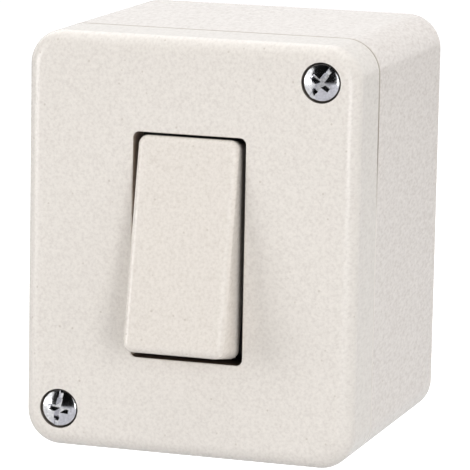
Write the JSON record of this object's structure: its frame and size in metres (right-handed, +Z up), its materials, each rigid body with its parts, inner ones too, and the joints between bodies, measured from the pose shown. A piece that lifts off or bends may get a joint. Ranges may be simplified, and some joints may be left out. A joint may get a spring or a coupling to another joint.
{
  "type": "surface mounted light switch",
  "caption": "Deep surface mounted box with a screwed, rounded front cover and a tilting rocker that works change-over contacts inside.",
  "frame": {"origin": "centre of the flat back face that lies on the wall", "axes": "+Z up the wall, +Y into the wall, +X to the right as the user faces the rocker, which looks along -Y"},
  "size_m": [0.054, 0.0549, 0.0662],
  "materials": {
    "ivory_shell": "moulded, fine satin grain",
    "ivory_cover": "moulded, fine satin grain",
    "ivory_rocker": "moulded, smooth satin",
    "grey_thermoset": "moulded, matt",
    "nickel_plated_screw": "bright nickel plate",
    "zinc_plated_steel": "zinc plate",
    "brass_strip": "rolled strip",
    "silver_contact": "silver facing",
    "natural_nylon": "natural nylon"
  },
  "bodies": {
    "housing": {"base_box": "ivory_shell", "front_cover": "ivory_cover", "cover_screw_upper": "nickel_plated_screw", "cover_screw_lower": "nickel_plated_screw", "contact_block": "grey_thermoset", "block_screw_upper": "zinc_plated_steel", "block_screw_lower": "zinc_plated_steel", "common_terminal": "brass_strip", "common_clamp_plate": "zinc_plated_steel", "common_terminal_screw": "zinc_plated_steel", "upper_contact_terminal": "brass_strip", "upper_fixed_contact": "silver_contact", "upper_clamp_plate": "zinc_plated_steel", "upper_terminal_screw": "zinc_plated_steel", "lower_contact_terminal": "brass_strip", "lower_fixed_contact": "silver_contact", "lower_clamp_plate": "zinc_plated_steel", "lower_terminal_screw": "zinc_plated_steel", "rocker_pin": "zinc_plated_steel"},
    "rocker": {"rocker": "ivory_rocker", "rocker_spring": "zinc_plated_steel"},
    "plunger": {"plunger": "natural_nylon"},
    "contact_lever": {"contact_lever": "brass_strip", "upper_moving_contact": "silver_contact", "lower_moving_contact": "silver_contact"}
  },
  "joints": [
    {"name": "rocker_tilt", "type": "hinge", "parent": "housing", "child": "rocker", "pos_m": [0, -0.0464, 0.0003], "axis": [1, 0, 0], "range_deg": [0, 22]},
    {"name": "contact_lever_tilt", "type": "hinge", "parent": "housing", "child": "contact_lever", "pos_m": [0, -0.0324, 0.0003], "axis": [1, 0, 0], "range_deg": [-12, 0]},
    {"name": "plunger_slide", "type": "slide", "parent": "rocker", "child": "plunger", "axis": [0, -0.9816, 0.1908], "range_m": [0, 0.001], "stiffness_N_per_m": 400, "springref_m": -0.004, "deforming": ["rocker_spring"]}
  ],
  "couplings": [
    {"joint": "contact_lever_tilt", "follows": "rocker_tilt", "ratio": -0.54546}
  ]
}
